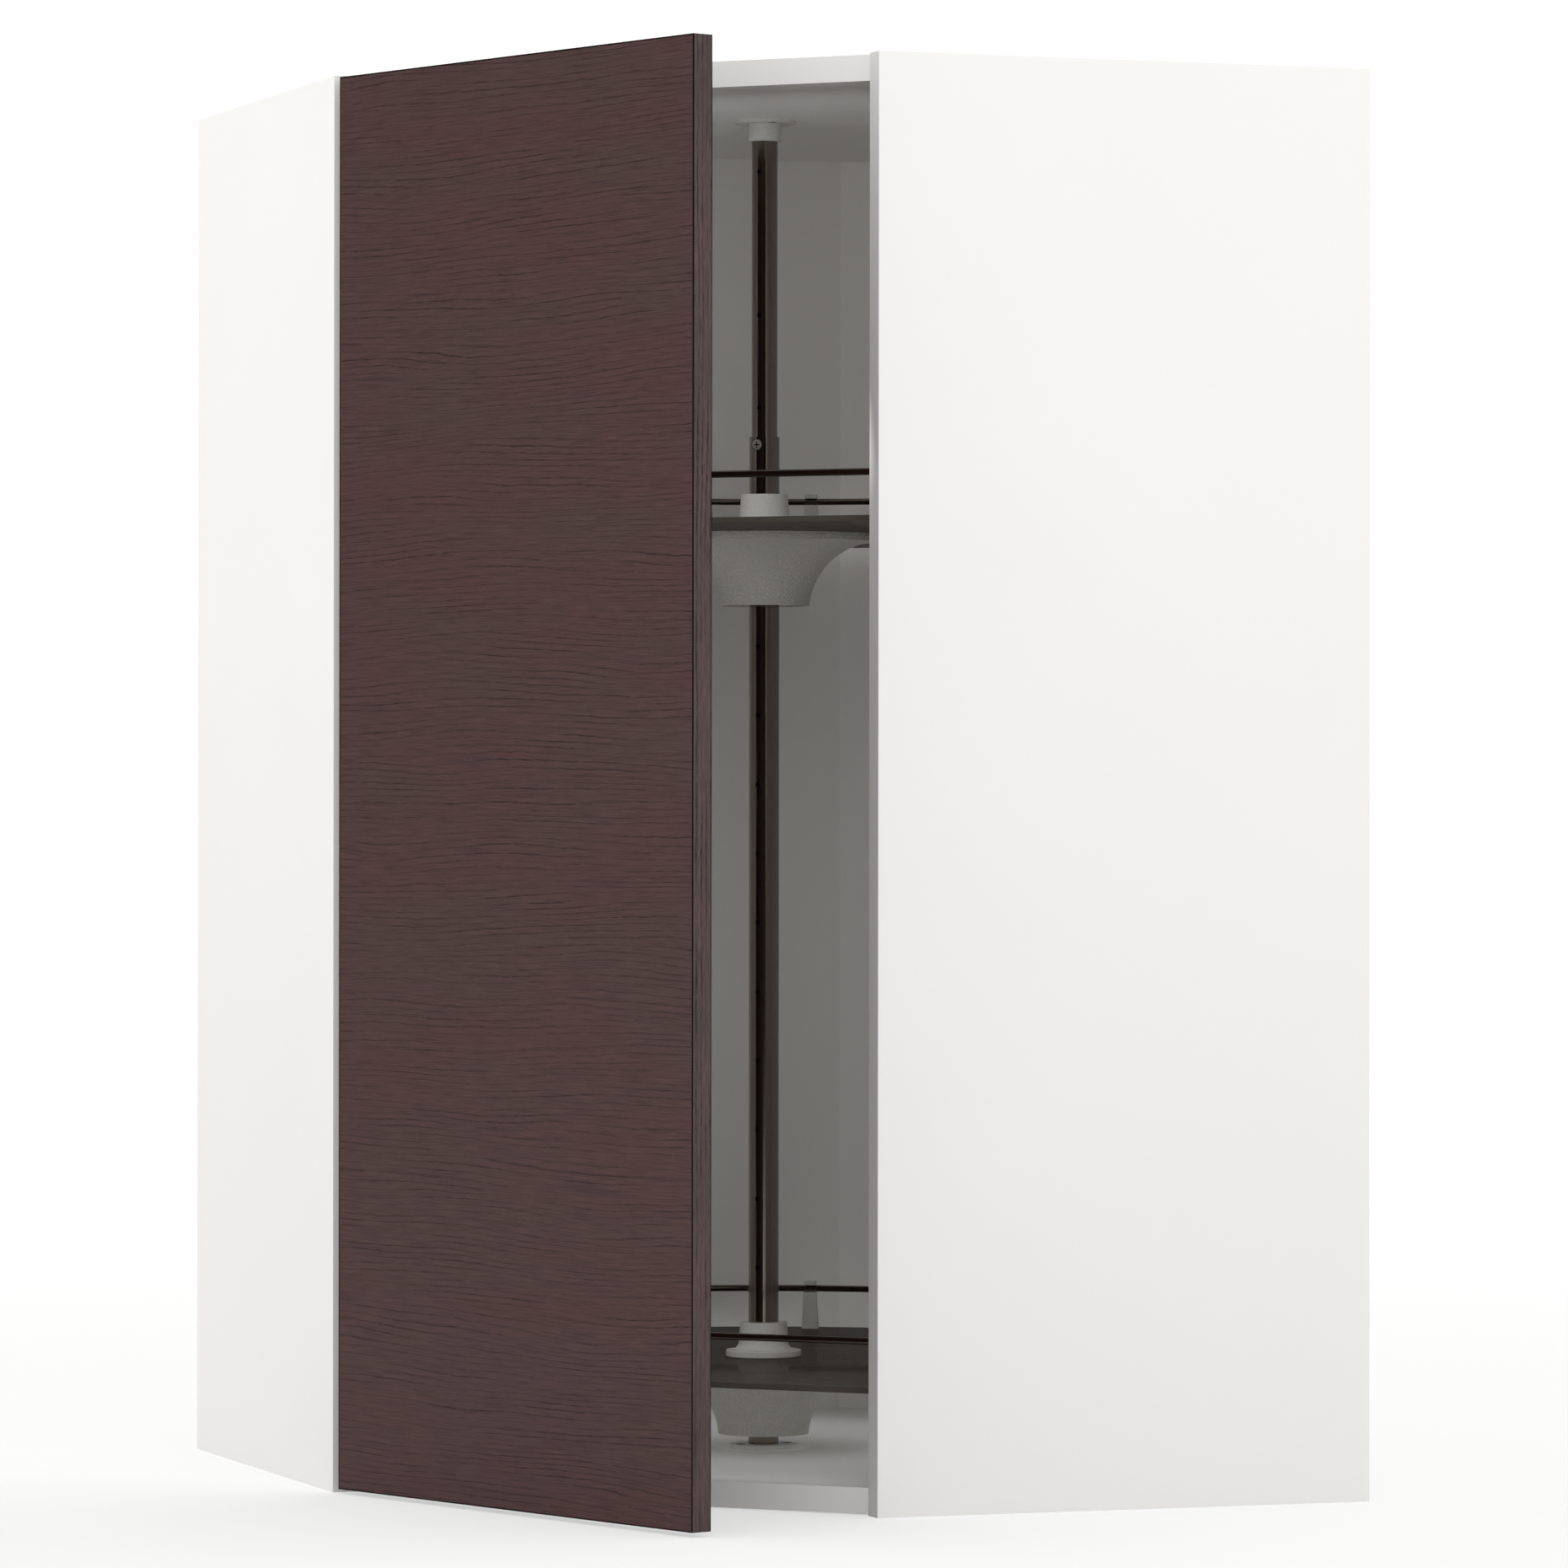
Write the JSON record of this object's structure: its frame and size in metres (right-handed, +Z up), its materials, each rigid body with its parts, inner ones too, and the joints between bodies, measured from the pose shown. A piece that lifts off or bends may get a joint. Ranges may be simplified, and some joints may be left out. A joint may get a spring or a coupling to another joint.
{
  "type": "corner carousel cabinet",
  "caption": "Pentagonal corner wall cabinet with a diagonal door that opens onto D-shaped trays with wire rails, turning about a central pole.",
  "frame": {"origin": "on the carousel pole's axis, level with the lower ends of the end panels", "axes": "+Z up along the pole, -Y out through the diagonal door opening, +X to the right when facing the front; the walls' corner is towards +Y"},
  "size_m": [0.9404, 0.7975, 1],
  "materials": {
    "case_board": "white melamine-faced chipboard with white edging",
    "back_board": "thin white-faced hardboard",
    "door_board": "dark brown wood-effect foil, grain running across",
    "door_edge": "dark brown edging, grain running upright",
    "tube_steel": "bright nickel-plated steel tube",
    "wire_steel": "bright nickel-plated steel wire",
    "hinge_steel": "nickel-plated sheet steel",
    "fixing_steel": "zinc-plated steel",
    "cam_metal": "die-cast metal",
    "dowel_wood": "plain beech",
    "hub_plastic": "light grey moulded plastic with a fine grain",
    "tray_plastic": "clear smoke-grey tray sheet with polished edges",
    "bumper": "clear soft plastic"
  },
  "bodies": {
    "carcass": {"left_end_panel": "case_board", "right_end_panel": "case_board", "top_panel": "case_board", "bottom_panel": "case_board", "left_back_panel": "back_board", "right_back_panel": "back_board", "corner_back_panel": "case_board", "upper_hanging_rails": "case_board", "lower_hanging_rails": "case_board", "cam_locks": "cam_metal", "cam_bolts": "fixing_steel", "dowels": "dowel_wood", "base_flange": "hub_plastic", "base_flange_screws": "fixing_steel", "ceiling_flange": "hub_plastic", "ceiling_flange_screws": "fixing_steel", "lower_pole_tube": "tube_steel", "upper_pole_tube": "tube_steel", "pole_clamp_screw": "fixing_steel", "hub_support_pins": "fixing_steel", "thrust_rings": "hub_plastic", "hinge_plates": "hinge_steel", "hinge_plate_screws": "fixing_steel", "hinge_arms": "hinge_steel", "hinge_arm_screws": "fixing_steel", "hinge_arm_pins": "fixing_steel"},
    "inner_links": {"hinge_inner_links": "hinge_steel", "hinge_knee_pins": "fixing_steel"},
    "outer_links": {"hinge_outer_links": "hinge_steel"},
    "door": {"door_panel": "door_board", "door_edging": "door_edge", "hinge_cups": "hinge_steel", "hinge_cup_screws": "fixing_steel", "hinge_cup_pins": "fixing_steel", "door_bumpers": "bumper"},
    "lower_carousel": {"lower_tray": "tray_plastic", "lower_rail": "wire_steel", "lower_rail_posts": "hub_plastic", "lower_post_screws": "fixing_steel", "lower_bell": "hub_plastic", "lower_collar": "hub_plastic", "lower_hub_screws": "fixing_steel"},
    "upper_carousel": {"upper_tray": "tray_plastic", "upper_rail": "wire_steel", "upper_rail_posts": "hub_plastic", "upper_post_screws": "fixing_steel", "upper_bell": "hub_plastic", "upper_collar": "hub_plastic", "upper_hub_screws": "fixing_steel"}
  },
  "joints": [
    {"name": "door_swing", "type": "hinge", "parent": "carcass", "child": "door", "pos_m": [-0.2065, -0.26017, 0.5], "axis": [0, 0, -1], "range_deg": [-25.1, 69.9]},
    {"name": "inner_link_turn", "type": "hinge", "parent": "carcass", "child": "inner_links", "pos_m": [-0.18293, -0.24655, 0.5], "axis": [0, 0, -1], "range_deg": [-25.1, 69.9]},
    {"name": "outer_link_turn", "type": "hinge", "parent": "inner_links", "child": "outer_links", "pos_m": [-0.16139, -0.25244, 0.5], "axis": [0, 0, -1], "range_deg": [-69.9, 25.1]},
    {"name": "lower_tray_turn", "type": "hinge", "parent": "carcass", "child": "lower_carousel", "pos_m": [0, 0, 0.085], "axis": [0, 0, 1], "range_deg": [-360, 360]},
    {"name": "upper_tray_turn", "type": "hinge", "parent": "carcass", "child": "upper_carousel", "pos_m": [0, 0, 0.685], "axis": [0, 0, 1], "range_deg": [-360, 360]}
  ],
  "couplings": [
    {"joint": "inner_link_turn", "follows": "door_swing", "ratio": 1},
    {"joint": "outer_link_turn", "follows": "door_swing", "ratio": -1}
  ]
}
